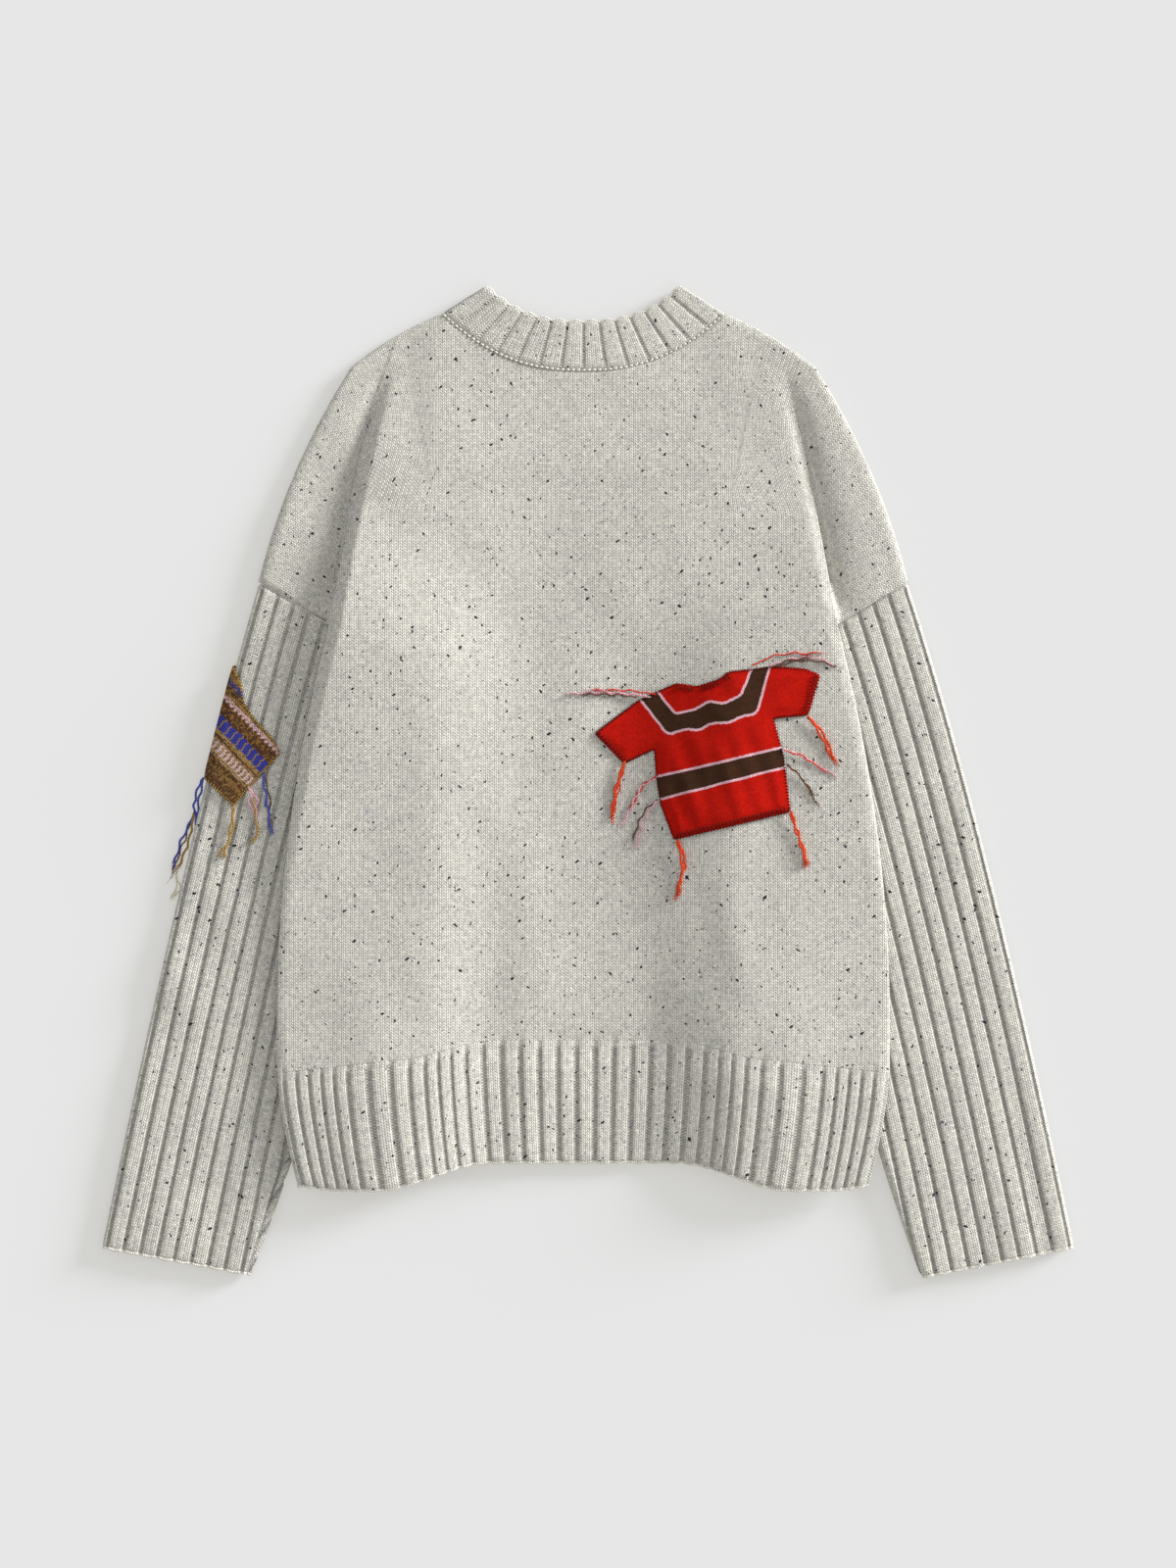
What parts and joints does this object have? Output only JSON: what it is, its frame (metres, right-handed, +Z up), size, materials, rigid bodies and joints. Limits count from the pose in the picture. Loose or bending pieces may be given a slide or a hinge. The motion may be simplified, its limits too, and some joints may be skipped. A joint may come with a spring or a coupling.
{
  "type": "darned wool sweater",
  "caption": "Wide drop-shoulder wool pullover lying flat with its back up, with ribbed sleeves, hem and neckband and sewn-on knitted patches with loose yarn ends.",
  "frame": {"origin": "on the surface it lies on, under the middle of its outline", "axes": "+Z up out of the back of the garment, +Y towards the neckband, +X towards the wearer's right"},
  "size_m": [0.7164, 0.73, 0.0236],
  "materials": {
    "plain_knit": "matte oatmeal wool in plain knit with dark flecks",
    "rib_knit": "matte oatmeal wool in wide ribs with dark flecks",
    "red_patch": "felted red wool with brown and pink bands",
    "striped_patch": "ochre, brown, blue and pink banded knit",
    "red_yarn": "loose wool yarn ends, orange, red, brown and pink",
    "striped_yarn": "loose wool yarn ends, blue, ochre, pink and brown"
  },
  "bodies": {
    "root": {"back_hem_rib": "rib_knit", "back_panel": "plain_knit", "front_hem_rib": "rib_knit", "front_panel": "plain_knit", "neckband": "rib_knit", "patch_red": "red_patch", "patch_striped": "striped_patch", "red_ends_collar_left": "red_yarn", "red_ends_collar_right": "red_yarn", "red_ends_left_cuff": "red_yarn", "red_ends_left_hem": "red_yarn", "red_ends_left_side": "red_yarn", "red_ends_right_cuff": "red_yarn", "red_ends_right_hem": "red_yarn", "red_ends_right_side": "red_yarn", "sleeve_left": "rib_knit", "sleeve_right": "rib_knit", "striped_ends_hem_inner": "striped_yarn", "striped_ends_hem_middle": "striped_yarn", "striped_ends_inner_corner": "striped_yarn", "striped_ends_outer_corner": "striped_yarn", "striped_ends_outer_long": "striped_yarn", "tucked_side_left": "plain_knit", "tucked_side_right": "plain_knit"}
  },
  "joints": []
}
